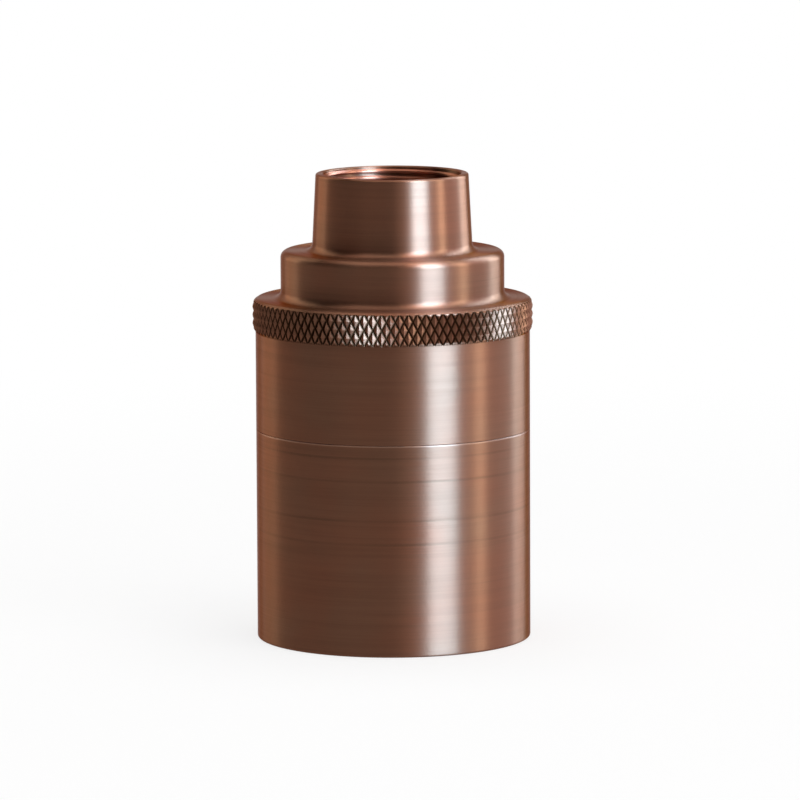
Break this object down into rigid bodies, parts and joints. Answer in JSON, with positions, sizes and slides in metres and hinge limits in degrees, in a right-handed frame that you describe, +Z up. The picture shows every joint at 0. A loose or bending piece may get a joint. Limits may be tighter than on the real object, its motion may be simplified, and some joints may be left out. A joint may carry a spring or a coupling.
{
  "type": "lamp holder",
  "caption": "Round metal lamp holder with a threaded neck, stepped shoulder and knurled collar on an open-ended sleeve.",
  "frame": {"origin": "on the axis, at the height of the sleeve's rim, which it stands on", "axes": "+Z up the axis from the open mouth to the threaded neck; +X through the live terminal"},
  "size_m": [0.0408, 0.0408, 0.068],
  "materials": {
    "antique_copper": "antique copper, brushed",
    "porcelain": "glazed white porcelain",
    "brass": "plain brass",
    "zinc_plated_steel": "zinc plated",
    "spring_steel": "bright spring wire",
    "fibre": "red vulcanised fibre"
  },
  "bodies": {
    "sleeve_body": {"sleeve": "antique_copper", "fibre_gasket": "fibre", "insulator": "porcelain", "screw_shell": "brass", "shell_rivet_1": "brass", "shell_rivet_2": "brass", "contact_bush": "brass", "contact_spring": "spring_steel", "live_strip": "brass", "live_terminal": "brass", "live_fixing_screw": "zinc_plated_steel", "neutral_terminal": "brass", "neutral_fixing_screw": "zinc_plated_steel"},
    "cap_body": {"cap": "antique_copper"},
    "centre_contact": {"contact_plunger": "brass", "plunger_clip": "spring_steel"},
    "live_clamp": {"live_terminal_screw": "zinc_plated_steel"},
    "neutral_clamp": {"neutral_terminal_screw": "zinc_plated_steel"},
    "earth_terminal": {"earth_screw": "zinc_plated_steel", "earth_washer": "zinc_plated_steel", "earth_clamp": "brass"}
  },
  "joints": [
    {"name": "cap_lift", "type": "slide", "parent": "sleeve_body", "child": "cap_body", "axis": [0, 0, 1], "range_m": [0, 0.03]},
    {"name": "contact_press", "type": "slide", "parent": "sleeve_body", "child": "centre_contact", "axis": [0, 0, 1], "range_m": [0, 0.0018], "stiffness_N_per_m": 1500, "springref_m": -0.001, "deforming": ["contact_spring"]},
    {"name": "live_screw_in", "type": "slide", "parent": "sleeve_body", "child": "live_clamp", "axis": [-1, 0, 0], "range_m": [0, 0.0013]},
    {"name": "neutral_screw_in", "type": "slide", "parent": "sleeve_body", "child": "neutral_clamp", "axis": [1, 0, 0], "range_m": [0, 0.0013]},
    {"name": "earth_screw_in", "type": "slide", "parent": "cap_body", "child": "earth_terminal", "axis": [0, 0, 1], "range_m": [0, 0.0009]}
  ]
}
